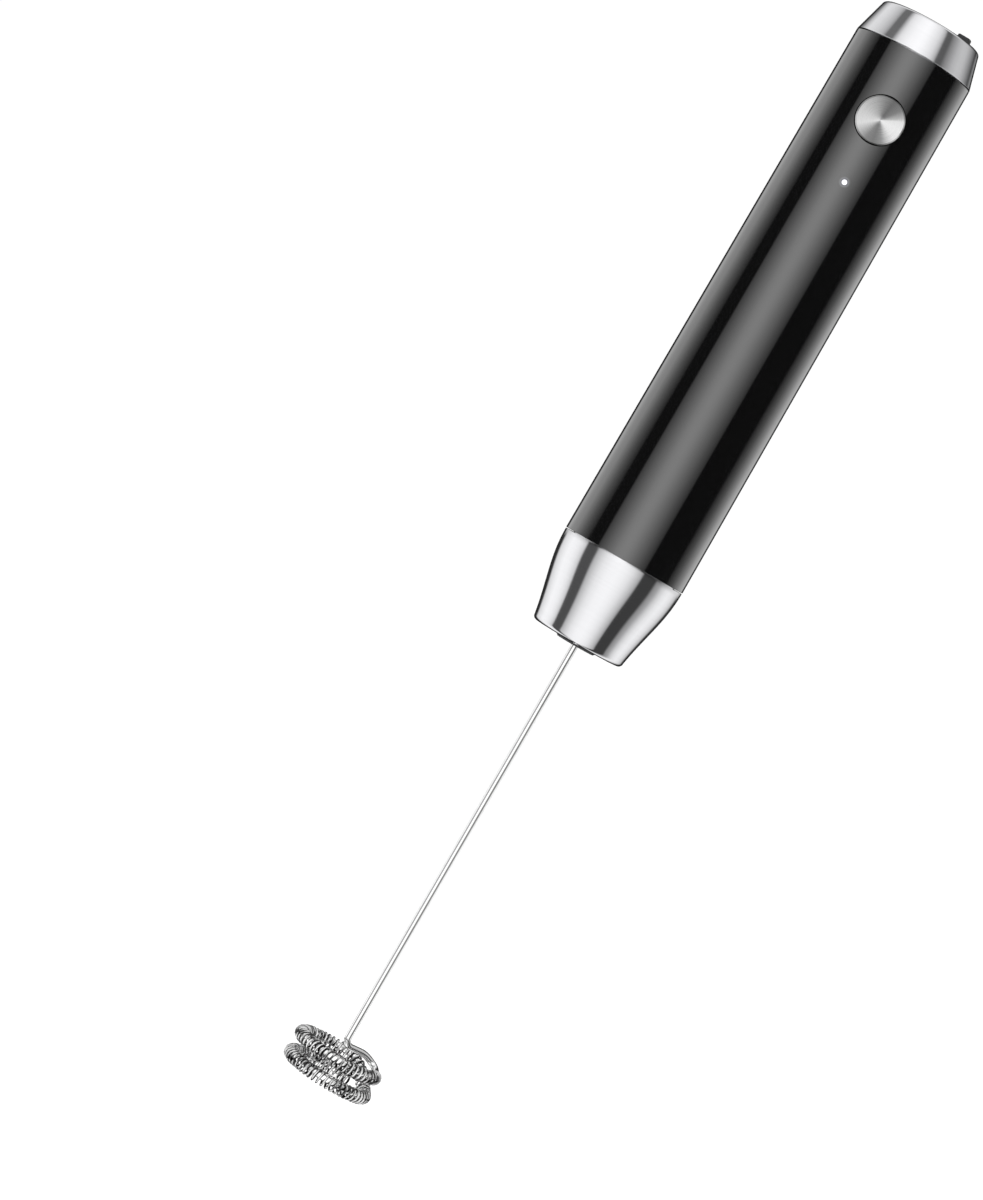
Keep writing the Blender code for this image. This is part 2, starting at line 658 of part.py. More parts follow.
def make_board():
    mask = finish("board_green", (0.02, 0.18, 0.08), 0.4)
    board = block("circuit_board", (-BOARD_HALF_WIDTH, BOARD_FRONT, BOARD_BOTTOM),
                  (BOARD_HALF_WIDTH, BOARD_BACK, BOARD_TOP), mask)
    steel = finish("screw_steel", (0.6, 0.6, 0.61), 0.3, 1.0)
    for side, x in (("left", -SCREW_X), ("right", SCREW_X)):
        hole = rod(f"board_hole_{side}", 1.1, 4.0, None, (x, -3.0, SCREW_Z), segments=16,
                   facing_front=True)
        combine(board, hole)
        screw = [(0, 4.1), (1.2, 4.1), (1.6, 3.7), (1.6, 3.1), (0.7, 3.1), (0.7, 0), (0, 0)]
        turned(f"board_screw_{side}", screw, steel, location=(x, -2.6, SCREW_Z), steps=14,
               facing_front=True)

    seat = BOARD_FRONT - GAP
    dark = finish("component_black", (0.025, 0.025, 0.025), 0.5)
    switch = block("tact_switch_base", (-2.4, seat - 1.9, BUTTON_Z - 2.4), (2.4, seat, BUTTON_Z + 2.4),
                   dark, bevel=0.2)
    well = rod("plunger_well", 1.5, 3.0, None, (0, seat - 0.7, BUTTON_Z), facing_front=True)
    combine(switch, well)
    block("charge_chip", (-2.5, seat - 1.2, 218.2), (2.5, seat, 222.4), dark, bevel=0.15)
    phosphor = finish("led_phosphor", (0.9, 0.85, 0.55), 0.4)
    block("led_package", (-0.8, seat - 0.8, LIGHT_Z - 0.5), (0.8, seat, LIGHT_Z + 0.5), phosphor)

    shell = finish("port_steel", (0.6, 0.6, 0.61), 0.25, 1.0)
    low = (-PORT_HALF[0], PORT_Y - PORT_HALF[1] + 0.1, PORT_TOP - PORT_LENGTH)
    high = (PORT_HALF[0], PORT_Y + PORT_HALF[1], PORT_TOP)
    port = stadium("usb_port_shell", low, high, shell)
    inside = stadium("port_inside", (low[0] + 0.3, low[1] + 0.3, low[2] + 1),
                     (high[0] - 0.3, high[1] - 0.3, high[2] + 1), None)
    combine(port, inside)
    block("usb_port_tongue", (-3.3, PORT_Y - 0.3, PORT_TOP - PORT_LENGTH + 1 + GAP),
          (3.3, PORT_Y + 0.4, PORT_TOP - 0.9), dark)


def make_light_pipe():
    face = barrel_radius(LIGHT_Z)
    length = face + LIGHT_BACK
    clear = finish("light_pipe", (0.9, 0.92, 0.95), 0.1)
    profile = [(0, length), (LIGHT_RADIUS, length), (LIGHT_RADIUS, 1.6), (1.8, 1.6), (1.8, 0), (0, 0)]
    turned("led_light_pipe", profile, clear, location=(0, LIGHT_BACK, LIGHT_Z), steps=16, facing_front=True)


def make_leads():
    red = finish("lead_red", (0.55, 0.03, 0.02), 0.5)
    black = finish("lead_black", (0.02, 0.02, 0.02), 0.5)
    board_foot = BOARD_BOTTOM - GAP
    cell_top = CELL_BOTTOM + CELL_LENGTH + 2 * GAP + 0.25
    routes = {
        "battery_lead_positive": (red, [(0, 2.4, cell_top), (0, 2.4, cell_top + 2),
                                        (0, 0.8, cell_top + 4.4), (0, BOARD_BACK + GAP, cell_top + 4.6)]),
        "battery_lead_negative": (black, [(0, -6.1, 173.4), (0, -6.2, 176.0), (0.6, -6.4, 188.0),
                                          (0.2, -5.3, 199.0), (0, -4.9, board_foot)]),
        "motor_lead_left": (red, [(-5.2, -6.7, 169.6), (-5.3, -6.9, 173.0), (-5.6, -7.3, 186.0),
                                  (-4.8, -5.6, 199.0), (-4.6, -4.9, board_foot)]),
        "motor_lead_right": (black, [(5.2, -6.7, 169.6), (5.3, -6.9, 173.0), (5.8, -7.1, 187.0),
                                     (4.8, -5.6, 199.0), (4.6, -4.9, board_foot)]),
    }
    for name, (colour, places) in routes.items():
        wire(name, smooth_route(places), LEAD_RADIUS, colour)


# ---- button and port cover -----------------------------------------------------------

def make_button():
    metal = finish("spun_metal", (0.72, 0.72, 0.73), 0.3, 1.0)
    thick, chamfer = BUTTON_THICKNESS, 0.25
    disc = [(0, thick), (BUTTON_RADIUS - chamfer, thick), (BUTTON_RADIUS, thick - chamfer),
            (BUTTON_RADIUS, 0), (0, 0)]
    turned("button_disc", disc, metal, location=(0, BUTTON_FACE + thick, BUTTON_Z), steps=32,
           facing_front=True)
    plastic = finish("carrier_abs", (0.02, 0.02, 0.022), 0.45)
    reach = CARRIER_BACK - (BUTTON_FACE + thick + GAP)
    carrier = [(0, reach), (4.7, reach), (4.7, 1.2), (5.9, 1.2), (5.9, 0.4), (1.5, 0.4), (1.5, 0), (0, 0)]
    turned("button_carrier", carrier, plastic, location=(0, CARRIER_BACK, BUTTON_Z), facing_front=True)
    length = PLUNGER_BACK - CARRIER_BACK - GAP
    plunger = [(0, length), (1.2, length), (1.2, 0), (0, 0)]
    turned("tact_plunger", plunger, finish("plunger_grey", (0.5, 0.5, 0.5), 0.5),
           location=(0, PLUNGER_BACK, BUTTON_Z), steps=16, facing_front=True)


def make_port_cover():
    rubber = finish("cover_rubber", (0.02, 0.02, 0.022), 0.65)
    bottom = CAP_TOP - COVER_THICKNESS
    low_y = PORT_Y - COVER_HALF_WIDTH
    high_y = PORT_Y + COVER_HALF_WIDTH
    radius = COVER_HALF_WIDTH
    outline = [(COVER_LEFT, low_y), *arc((COVER_RIGHT - radius, PORT_Y), radius, -90, 90, 10),
               (COVER_LEFT, high_y)]
    cover = slab("port_cover", outline, bottom, CAP_TOP, rubber)
    plug = stadium("cover_plug", (-3.8, PORT_Y - 0.95, bottom - 1.25),
                   (3.8, PORT_Y + 0.95, bottom + 0.4), None)
    lip_outline = [(COVER_RIGHT - LIP_LENGTH, PORT_Y - 2.0),
                   *arc((COVER_RIGHT - radius - 0.05, PORT_Y), radius - 0.2, -40, 40, 6),
                   (COVER_RIGHT - LIP_LENGTH, PORT_Y + 2.0)]
    lip = slab("cover_lip", lip_outline, bottom + 0.3, CAP_TOP + LIP_HEIGHT, None)
    combine(cover, plug, "UNION")
    combine(cover, lip, "UNION")

    left = COVER_LEFT - 2.2
    tail = [(COVER_HINGE_X - GAP, high_y), *arc((left + radius, PORT_Y), radius, 132, 228, 8),
            (COVER_HINGE_X - GAP, low_y)]
    slab("port_cover_anchor", tail, bottom, CAP_TOP - 0.05, rubber)


# A flat outline raised from one height to another, as a closed mesh.
def slab(name, outline, low, high, material):
    shape = bmesh.new()
    floor = shape.faces.new([shape.verts.new((x * MM, y * MM, 0)) for x, y in outline])
    raised = bmesh.ops.extrude_face_region(shape, geom=[floor])
    top = [item for item in raised["geom"] if isinstance(item, bmesh.types.BMVert)]
    bmesh.ops.translate(shape, verts=top, vec=(0, 0, (high - low) * MM))
    return mesh_object(name, shape, material, (0, 0, low))


# ---- assembly ------------------------------------------------------------------------

def assemble():
    handle = joint("handle")
    button = joint("button_axis", (0, BUTTON_FACE, BUTTON_Z), handle)
    plunger = joint("plunger_axis", (0, CARRIER_BACK + GAP, BUTTON_Z), handle)
    rotor = joint("rotor_axis", (0, 0, MOTOR_BOTTOM), handle)
    whisk = joint("whisk_axis", (0, 0, COLLAR_BOTTOM), rotor)
    cover = joint("cover_axis", (COVER_HINGE_X, PORT_Y, CAP_TOP), handle)
    carriers = {
        button: ("button_disc", "button_carrier"),
        plunger: ("tact_plunger",),
        rotor: ("motor_shaft", "armature_core", "winding_1", "winding_2", "winding_3",
                "commutator", "drive_socket"),
        whisk: ("whisk_connector", "whisk_shaft", "whisk_spring"),
        cover: ("port_cover",),
    }
    for carrier, names in carriers.items():
        for name in names:
            ride(bpy.data.objects[name], carrier)
    for obj in pieces.objects:
        if obj.parent is None and obj is not handle:
            obj.parent = handle


clear_scene()
pieces = new_collection("milk_frother")
cutters = new_collection("cutters")
make_barrel()
make_top_cap()
make_nose_cone()
make_splash_seal()
make_whisk()
make_drive_socket()
make_motor_case()
make_motor_cradle()
make_magnets_and_brushes()
make_rotor()
make_tray()
make_battery()
make_board()
make_light_pipe()
make_leads()
make_button()
make_port_cover()
assemble()
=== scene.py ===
import math

import bmesh
import bpy
from mathutils import Matrix, Vector
from mathutils.kdtree import KDTree


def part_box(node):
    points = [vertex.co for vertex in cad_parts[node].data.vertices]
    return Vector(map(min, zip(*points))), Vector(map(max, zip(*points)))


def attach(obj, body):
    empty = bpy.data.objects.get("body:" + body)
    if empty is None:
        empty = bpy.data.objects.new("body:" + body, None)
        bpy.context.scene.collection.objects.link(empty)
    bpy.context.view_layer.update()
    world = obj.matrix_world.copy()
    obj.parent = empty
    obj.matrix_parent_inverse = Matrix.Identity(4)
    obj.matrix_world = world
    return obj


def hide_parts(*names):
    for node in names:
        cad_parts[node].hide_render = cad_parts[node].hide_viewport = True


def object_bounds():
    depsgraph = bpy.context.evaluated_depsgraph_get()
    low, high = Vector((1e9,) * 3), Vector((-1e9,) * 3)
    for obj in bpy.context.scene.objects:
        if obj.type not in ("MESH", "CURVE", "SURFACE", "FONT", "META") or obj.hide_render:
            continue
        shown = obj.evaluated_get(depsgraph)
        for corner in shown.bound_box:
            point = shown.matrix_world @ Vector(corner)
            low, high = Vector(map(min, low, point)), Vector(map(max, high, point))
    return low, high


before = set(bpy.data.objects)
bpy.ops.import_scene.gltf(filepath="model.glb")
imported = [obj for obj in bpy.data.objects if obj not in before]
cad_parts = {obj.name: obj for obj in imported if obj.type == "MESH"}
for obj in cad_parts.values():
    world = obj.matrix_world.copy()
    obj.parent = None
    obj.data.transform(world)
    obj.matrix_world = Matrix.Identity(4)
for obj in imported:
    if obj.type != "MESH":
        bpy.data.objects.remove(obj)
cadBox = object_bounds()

mm = 0.001                     # sizes are given in millimetres
grainDepth = 0.05 * mm         # how deep the fine grain of a finish is
print("frame loaded:", len(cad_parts), "nodes")


# one output socket, so that an expression on values adds its Math nodes
class Signal:
    def __init__(self, board, socket):
        self.board = board
        self.socket = socket

    def maths(self, operation, *values):
        return self.board.node("ShaderNodeMath", {"operation": operation}, values)

    def __add__(self, other):
        return self.maths("ADD", self, other)

    def __radd__(self, other):
        return self.maths("ADD", other, self)

    def __sub__(self, other):
        return self.maths("SUBTRACT", self, other)

    def __rsub__(self, other):
        return self.maths("SUBTRACT", other, self)

    def __mul__(self, other):
        return self.maths("MULTIPLY", self, other)

    def __rmul__(self, other):
        return self.maths("MULTIPLY", other, self)

    def __pow__(self, other):
        return self.maths("POWER", self, other)


# the node tree of a material or of the world
class Board:
    def __init__(self, owner):
        owner.use_nodes = True
        self.tree = owner.node_tree
        self.tree.nodes.clear()

    def node(self, kind, settings=None, values=(), out=0):
        made = self.tree.nodes.new(kind)
        for key, value in (settings or {}).items():
            if key == "stops":
                self.setStops(made.color_ramp, value)
            else:
                setattr(made, key, value)
        pairs = values.items() if isinstance(values, dict) else enumerate(values)
        for key, value in pairs:
            if isinstance(value, Signal):
                self.tree.links.new(value.socket, made.inputs[key])
            elif value is not None:
                made.inputs[key].default_value = value
        return Signal(self, made.outputs[out]) if made.outputs else None

    def setStops(self, ramp, stops):
        ramp.elements.remove(ramp.elements[1])
        for index, (place, colour) in enumerate(stops):
            element = ramp.elements.new(place) if index else ramp.elements[0]
            element.position = place
            grey = isinstance(colour, (int, float))
            element.color = (colour, colour, colour, 1) if grey else (*colour, 1)

    def place(self, move=(0, 0, 0), turn=(0, 0, 0), scale=(1, 1, 1)):
        here = self.node("ShaderNodeTexCoord", out="Object")
        if (move, turn, scale) == ((0, 0, 0), (0, 0, 0), (1, 1, 1)):
            return here
        return self.node("ShaderNodeMapping", {"vector_type": "POINT"},
                         {"Vector": here, "Location": move, "Rotation": turn, "Scale": scale})

    def axes(self, vector):
        split = self.node("ShaderNodeSeparateXYZ", None, [vector])
        outputs = split.socket.node.outputs
        return [Signal(self, outputs[k]) for k in range(3)]

    def noise(self, vector, scale, detail=3.0, rough=0.5):
        return self.node("ShaderNodeTexNoise", None,
                         {"Vector": vector, "Scale": scale, "Detail": detail, "Roughness": rough})

    def ramp(self, value, stops):
        return self.node("ShaderNodeValToRGB", {"stops": stops}, [value])

    def remap(self, value, low, high, newLow, newHigh):
        return self.node("ShaderNodeMapRange", {"clamp": True},
                         {"Value": value, "From Min": low, "From Max": high,
                          "To Min": newLow, "To Max": newHigh})

    def blendColour(self, share, first, second):
        first, second = [(*c, 1) if isinstance(c, tuple) else c for c in (first, second)]
        return self.node("ShaderNodeMix", {"data_type": "RGBA"}, {0: share, 6: first, 7: second},
                         out=2)

    def bump(self, height, strength, distance):
        return self.node("ShaderNodeBump", None,
                         {"Strength": strength, "Distance": distance, "Height": height})

    def axesFrom(self, centre):
        return self.axes(self.place(move=tuple(-c for c in centre)))

    def surface(self, **sockets):
        named = {"colour": "Base Color", "rough": "Roughness", "metal": "Metallic", "ior": "IOR",
                 "coat": "Coat Weight", "coatRough": "Coat Roughness", "coatIor": "Coat IOR",
                 "glow": "Emission Color", "glowPower": "Emission Strength", "normal": "Normal",
                 "specular": "Specular IOR Level"}
        values = {}
        for key, value in sockets.items():
            values[named[key]] = (*value, 1) if isinstance(value, tuple) else value
        shader = self.node("ShaderNodeBsdfPrincipled", None, values)
        self.node("ShaderNodeOutputMaterial", None, [shader])


def newFinish(name):
    made = bpy.data.materials.new(name)
    return made, Board(made)


gloss = {
    "base": (0.0012, 0.0012, 0.0013),
    "worn": (0.002, 0.002, 0.0022),
    "smooth": 0.05,
    "smudged": 0.10,
    "haloFrom": 0.5 * mm,      # painted glow of the lit indicator, with a soft edge on the gloss round it
    "haloTo": 1.3 * mm,
    "haloColour": (0.85, 0.88, 0.95),
}


def pianoBlack(lit):
    made, board = newFinish("pianoBlack")
    here = board.place()
    smudge = board.noise(here, 55, 4, 0.6)
    fine = board.noise(here, 900, 2)
    rough = board.remap(smudge, 0.35, 0.7, gloss["smooth"], gloss["smudged"])
    colour = board.ramp(fine, [(0.3, gloss["base"]), (0.8, gloss["worn"])])
    peel = board.bump(board.noise(here, 320, 1), 0.035, 0.2 * mm)
    # painted glow: the gloss round the lit indicator is given emission, as if its light spilled
    # onto it
    x, y, z = board.axesFrom(lit)
    away = (x * x + y * y + z * z) ** 0.5
    halo = board.remap(away, gloss["haloFrom"], gloss["haloTo"], 1.0, 0.0)
    glow = board.blendColour(halo ** 2.0, (0.0, 0.0, 0.0), gloss["haloColour"])
    board.surface(colour=colour, rough=rough, ior=1.62, coat=1.0, coatRough=0.03, coatIor=1.75,
                  normal=peel, glow=glow, glowPower=0.4)
    return made


def brightChrome():
    made, board = newFinish("brightChrome")
    here = board.place()
    handling = board.noise(here, 70, 5, 0.62)
    lines = board.noise(board.place(scale=(1, 1, 45)), 60, 3)
    rough = board.remap(handling, 0.3, 0.75, 0.08, 0.12)
    colour = board.ramp(lines, [(0.3, (0.70, 0.70, 0.715)), (0.75, (0.72, 0.72, 0.735))])
    board.surface(colour=colour, rough=rough, metal=1.0, normal=board.bump(lines, 0.006, 0.1 * mm))
    return made


# painted highlight of the spun face: how bright it is painted round its centre, from -X through the
# top of the handle
paintedHighlightStops = [
    (0.0, 0.50), (0.10, 0.60), (0.17, 0.36), (0.22, 0.20), (0.28, 0.16), (0.34, 0.24),
    (0.38, 0.46), (0.43, 0.66), (0.50, 0.70), (0.57, 0.64), (0.59, 0.40), (0.65, 0.18),
    (0.73, 0.12), (0.79, 0.20), (0.86, 0.32), (0.94, 0.42), (1.0, 0.50),
]


def spunSteel(centre):
    made, board = newFinish("spunSteel")
    x, y, z = board.axesFrom(centre)
    radius = (x * x + z * z) ** 0.5
    angle = board.node("ShaderNodeMath", {"operation": "ARCTAN2"}, [z, x])
    rings = board.node("ShaderNodeTexNoise", {"noise_dimensions": "1D"},
                       {"W": radius * 9000, "Scale": 1.0, "Detail": 2.0})
    turned = angle * (0.5 / math.pi) + 0.5 + (rings - 0.5) * 0.05
    # painted highlight: spokes of light and shade painted round the centre, broken up a little by
    # the real ring grain
    paintedSpokes = board.ramp(turned, paintedHighlightStops)
    tone = paintedSpokes * (rings * 0.5 + 0.75)
    # the colour turns a lighter grey at the very centre
    pip = board.remap(radius, 0.0, 0.9 * mm, 0.35, 0.0)
    colour = board.blendColour(pip, tone, (0.75, 0.75, 0.76))
    board.surface(colour=colour, rough=board.remap(rings, 0.3, 0.7, 0.24, 0.36), metal=1.0,
                  normal=board.bump(rings, 0.2, grainDepth))
    return made


# bright steel wire, with painted shade on the side that faces the inside of a coil
def drawnWire(name, bright, paintedShadeGrey):
    made, board = newFinish(name)
    here = board.place()
    drawn = board.noise(board.place(scale=(1, 1, 0.04)), 2600, 2)
    tone = board.noise(here, 180, 3)
    steel = board.ramp(tone, [(0.3, (bright - 0.1,) * 3), (0.75, (bright,) * 3)])
    # painted shade: the side of a coil that faces its inside is coloured dark
    clearShare = board.node("ShaderNodeAttribute", {"attribute_name": "clearOfPaintedShade"}, out="Fac")
    colour = board.blendColour(clearShare, (paintedShadeGrey,) * 3, steel)
    board.surface(colour=colour, rough=board.remap(drawn, 0.3, 0.7, 0.08, 0.15), metal=1.0,
                  normal=board.bump(drawn, 0.06, grainDepth))
    return made


def softRubber(name="softRubber", tone=0.018):
    made, board = newFinish(name)
    here = board.place()
    grain = board.noise(here, 5200, 2)
    dust = board.noise(here, 420, 4, 0.65)
    colour = board.ramp(dust, [(0.35, (tone, tone, tone * 1.08)), (0.85, (tone * 1.9,) * 3)])
    board.surface(colour=colour, rough=board.remap(grain, 0.3, 0.7, 0.5, 0.68), specular=0.4,
                  normal=board.bump(grain, 0.2, grainDepth))
    return made


def mouldedPlastic(name, colour, rough=0.45, grainStrength=0.12):
    made, board = newFinish(name)
    here = board.place()
    grain = board.noise(here, 4200, 2)
    flow = board.noise(here, 130, 4, 0.6)
    lighter = tuple(min(1.0, c * 1.14 + 0.004) for c in colour)
    tone = board.blendColour(board.remap(flow, 0.35, 0.7, 0.0, 1.0), colour, lighter)
    board.surface(colour=tone, rough=board.remap(grain, 0.3, 0.7, rough - 0.06, rough + 0.08),
                  normal=board.bump(grain, grainStrength, grainDepth))
    return made


def platedMetal(name, colour, rough=0.28, grainScale=700, stretch=(1, 1, 1)):
    made, board = newFinish(name)
    grain = board.noise(board.place(scale=stretch), grainScale, 4, 0.6)
    darker = tuple(c * 0.78 for c in colour)
    tone = board.blendColour(board.remap(grain, 0.3, 0.75, 0.0, 1.0), darker, colour)
    board.surface(colour=tone, rough=board.remap(grain, 0.3, 0.7, rough - 0.08, rough + 0.1),
                  metal=1.0, normal=board.bump(grain, 0.08, 0.1 * mm))
    return made


def glowingLens(centre):
    made, board = newFinish("glowingLens")
    x, y, z = board.axesFrom(centre)
    radius = (x * x + z * z) ** 0.5
    glow = board.ramp(board.remap(radius, 0.0, 0.7 * mm, 0.0, 1.0),
                      [(0.0, (1.0, 1.0, 1.0)), (0.6, (0.95, 0.96, 1.0)), (0.9, (0.08, 0.08, 0.09))])
    board.surface(colour=(0.03, 0.03, 0.035), rough=0.25, glow=glow, glowPower=1.6)
    return made


def smoothMesh(mesh, smoothAngle=35):
    mesh.shade_smooth()
    mesh.set_sharp_from_angle(angle=math.radians(smoothAngle))


# a finished piece: it rides a body and stands in for nodes of the frame
def keepPiece(name, shape, finish, body, stands=(), smoothAngle=35):
    mesh = bpy.data.meshes.new(name)
    shape.to_mesh(mesh)
    shape.free()
    smoothMesh(mesh, smoothAngle)
    mesh.materials.append(finish)
    piece = bpy.data.objects.new(name, mesh)
    bpy.context.scene.collection.objects.link(piece)
    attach(piece, body)
    if stands:
        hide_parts(*stands)
    return piece


# a closed outline of (radius, height) in metres, spun round the Z axis
def spunShape(outline, steps, closed=True):
    shape = bmesh.new()
    corners = [shape.verts.new((r, 0, z)) for r, z in outline]
    ends = zip(corners, corners[1:] + corners[:1]) if closed else zip(corners, corners[1:])
    edges = [shape.edges.new(pair) for pair in ends]
    bmesh.ops.spin(shape, geom=corners + edges, cent=(0, 0, 0), axis=(0, 0, 1),
                   angle=2 * math.pi, steps=steps, use_merge=True, use_duplicate=False)
    bmesh.ops.remove_doubles(shape, verts=shape.verts, dist=0.000002)
    bmesh.ops.recalc_face_normals(shape, faces=shape.faces)
    return shape


# turns a shape that is built up +Z so that it points at -Y, and moves it to its place
def faceFront(shape, centre):
    bmesh.ops.rotate(shape, verts=shape.verts, cent=(0, 0, 0),
                     matrix=Matrix.Rotation(math.radians(90), 3, "X"))
    bmesh.ops.translate(shape, verts=shape.verts, vec=centre)


def arcPoints(centre, radius, first, last, count):
    angles = [math.radians(first + (last - first) * i / count) for i in range(count + 1)]
    return [(centre[0] + radius * math.cos(a), centre[1] + radius * math.sin(a)) for a in angles]


def bezierPoints(a, b, c, d, count):
    made = []
    for i in range(count + 1):
        t = i / count
        share = ((1 - t) ** 3, 3 * t * (1 - t) ** 2, 3 * t * t * (1 - t), t ** 3)
        made.append(tuple(sum(w * p[k] for w, p in zip(share, (a, b, c, d))) for k in (0, 1)))
    return made


# cuts a shape out of a piece at once, so that no helper stays in the scene
def cutShape(piece, name, shape):
    mesh = bpy.data.meshes.new(name)
    shape.to_mesh(mesh)
    shape.free()
    cutter = bpy.data.objects.new(name, mesh)
    bpy.context.scene.collection.objects.link(cutter)
    step = piece.modifiers.new("cut", "BOOLEAN")
    step.operation = "DIFFERENCE"
    step.solver = "EXACT"
    step.object = cutter
    bpy.context.view_layer.update()
    graph = bpy.context.evaluated_depsgraph_get()
    mesh = bpy.data.meshes.new_from_object(piece.evaluated_get(graph))
    old = piece.data
    piece.modifiers.clear()
    piece.data = mesh
    bpy.data.meshes.remove(old)
    bpy.data.objects.remove(cutter)


def rodShape(radius, low, high, steps):
    shape = bmesh.new()
    bmesh.ops.create_cone(shape, cap_ends=True, segments=steps, radius1=radius, radius2=radius,
                          depth=high - low)
    bmesh.ops.translate(shape, verts=shape.verts, vec=(0, 0, (low + high) / 2))
    return shape


# a round wire along some points, as a shape with closed ends
def tubeShape(name, points, radius, sides):
    curve = bpy.data.curves.new(name + "Path", "CURVE")
    curve.dimensions = "3D"
    curve.bevel_depth = radius
    curve.bevel_resolution = sides
    curve.use_fill_caps = True
    spline = curve.splines.new("POLY")
    spline.points.add(len(points) - 1)
    for point, spot in zip(spline.points, points):
        point.co = (*spot, 1)
    holder = bpy.data.objects.new(name + "Path", curve)
    bpy.context.scene.collection.objects.link(holder)
    bpy.context.view_layer.update()
    graph = bpy.context.evaluated_depsgraph_get()
    mesh = bpy.data.meshes.new_from_object(holder.evaluated_get(graph))
    bpy.data.objects.remove(holder)
    bpy.data.curves.remove(curve)
    shape = bmesh.new()
    shape.from_mesh(mesh)
    bmesh.ops.remove_doubles(shape, verts=shape.verts, dist=0.0000005)
    bmesh.ops.recalc_face_normals(shape, faces=shape.faces)
    bpy.data.meshes.remove(mesh)
    return shape


studio = {
    "lens": 120.0,
    "distance": 0.824,
    "roll": 29.98,         # the handle leans this far in the picture
    "dip": 2.0,            # the camera looks this far down the handle
    "aim": (-0.01956, 0.0, 0.1038),
    "floorDrop": 0.045,    # room for the whisk when it is pulled out
    "floorSize": 12.0,
    "lights": {"softLeft": ((-0.9, -0.7, 0.5), 5.0), "softRight": ((0.9, -0.5, 0.3), 3.5)},
    "lightSize": 0.6,
    "lightsLookAt": (0, 0, 0.12),
}

# how bright the studio is round the handle, by degrees from the camera's side towards +X:
# level with the handle, then below it and above it
levelBands = [
    (-180, 0.02), (-157, 0.02), (-150, 0.8), (-133, 0.82), (-117, 0.97), (-105, 0.74), (-94, 0.44),
    (-84, 0.22), (-79, 0.12), (-77, 0.025), (-55, 0.025), (-53, 0.3), (-43, 0.6), (-36, 0.83),
    (-28, 1.1), (-21, 1.36), (-14, 1.5), (-7, 1.53), (0, 1.4), (7, 1.17), (14, 0.92), (21, 0.69),
    (28, 0.45), (37, 0.22), (39.5, 0.02), (88, 0.02), (94, 0.16), (105, 0.36), (117, 0.66),
    (133, 0.92), (150, 0.8), (157, 0.02),
]
lowBands = [
    (-180, 0.03), (-146, 0.03), (-138, 0.9), (-122, 1.15), (-110, 1.3), (-95, 1.25), (-85, 1.1),
    (-76, 0.85), (-72, 0.1), (-52, 0.1), (-48, 0.6), (-37, 0.92), (-29, 1.11), (-15, 1.27),
    (0, 1.3), (12, 1.22), (22, 1.06), (30, 0.83), (39, 0.52), (42, 0.06), (67, 0.06), (72, 0.35),
    (80, 0.5), (89, 0.86), (99, 1.1), (111, 1.2), (125, 1.05), (140, 0.7), (150, 0.03),
]
highBands = [
    (-180, 0.03), (-150, 0.03), (-140, 0.6), (-125, 1.0), (-112, 0.95), (-98, 0.8), (-86, 0.6),
    (-80, 0.4), (-78, 0.19), (-62, 0.19), (-58, 0.5), (-50, 1.0), (-42, 1.15), (-28, 1.3),
    (-10, 1.38), (0, 1.32), (14, 1.13), (24, 0.95), (31, 0.7), (35, 0.5), (38, 0.13), (50, 0.13),
    (58, 0.31), (67, 0.45), (77, 0.62), (90, 0.72), (102, 0.68), (112, 0.52), (127, 0.25),
    (140, 0.05),
]


def makeCamera():
    roll, dip = math.radians(studio["roll"]), math.radians(studio["dip"])
    forward = Vector((0, math.cos(dip), -math.sin(dip)))
    upHandle = Vector((0, math.sin(dip), math.cos(dip)))
    across = Vector((1, 0, 0))
    right = across * math.cos(roll) + upHandle * math.sin(roll)
    up = upHandle * math.cos(roll) - across * math.sin(roll)
    lens = bpy.data.cameras.new("studioCamera")
    lens.lens = studio["lens"]
    lens.clip_start = 0.05
    camera = bpy.data.objects.new("studioCamera", lens)
    bpy.context.scene.collection.objects.link(camera)
    spot = Vector(studio["aim"]) - forward * studio["distance"]
    turn = Matrix((right, up, -forward)).transposed().to_4x4()
    camera.matrix_world = Matrix.Translation(spot) @ turn
    bpy.context.scene.camera = camera


def makeWorld():
    world = bpy.data.worlds.new("studioWorld")
    bpy.context.scene.world = world
    board = Board(world)
    x, y, z = board.axes(board.node("ShaderNodeTexCoord", out="Generated"))
    around = board.node("ShaderNodeMath", {"operation": "ARCTAN2"}, [x, y * -1])
    place = around * (0.5 / math.pi) + 0.5
    level, low, high = [board.ramp(place, [(a / 360 + 0.5, b / 2) for a, b in bands])
                        for bands in (levelBands, lowBands, highBands)]
    lit = board.blendColour(board.remap(z, -0.035, -0.012, 0.0, 1.0), low, level)
    lit = board.blendColour(board.remap(z, 0.17, 0.32, 0.0, 1.0), lit, high)
    lit = board.blendColour(board.remap(z, 0.8, 0.95, 0.0, 1.0), lit, (0.5, 0.5, 0.5))
    studioLight = board.node("ShaderNodeBackground", None, {"Color": lit, "Strength": 2.0})
    plain = board.node("ShaderNodeBackground", None, {"Color": (1, 1, 1, 1), "Strength": 1.02})
    seen = board.node("ShaderNodeLightPath", out="Is Camera Ray")
    both = board.node("ShaderNodeMixShader", None, [seen, studioLight, plain])
    board.node("ShaderNodeOutputWorld", None, [both])


def makeFloor():
    shape = bmesh.new()
    bmesh.ops.create_grid(shape, x_segments=1, y_segments=1, size=studio["floorSize"] / 2)
    bmesh.ops.translate(shape, verts=shape.verts, vec=(0, 0, cadBox[0].z - studio["floorDrop"]))
    mesh = bpy.data.meshes.new("studioFloor")
    shape.to_mesh(mesh)
    shape.free()
    floor = bpy.data.objects.new("studioFloor", mesh)
    bpy.context.scene.collection.objects.link(floor)
    made, board = newFinish("studioWhite")
    board.surface(colour=(0.9, 0.9, 0.9), rough=0.9, glow=(1.0, 1.0, 1.0), glowPower=0.46)
    mesh.materials.append(made)
    floor.visible_glossy = False


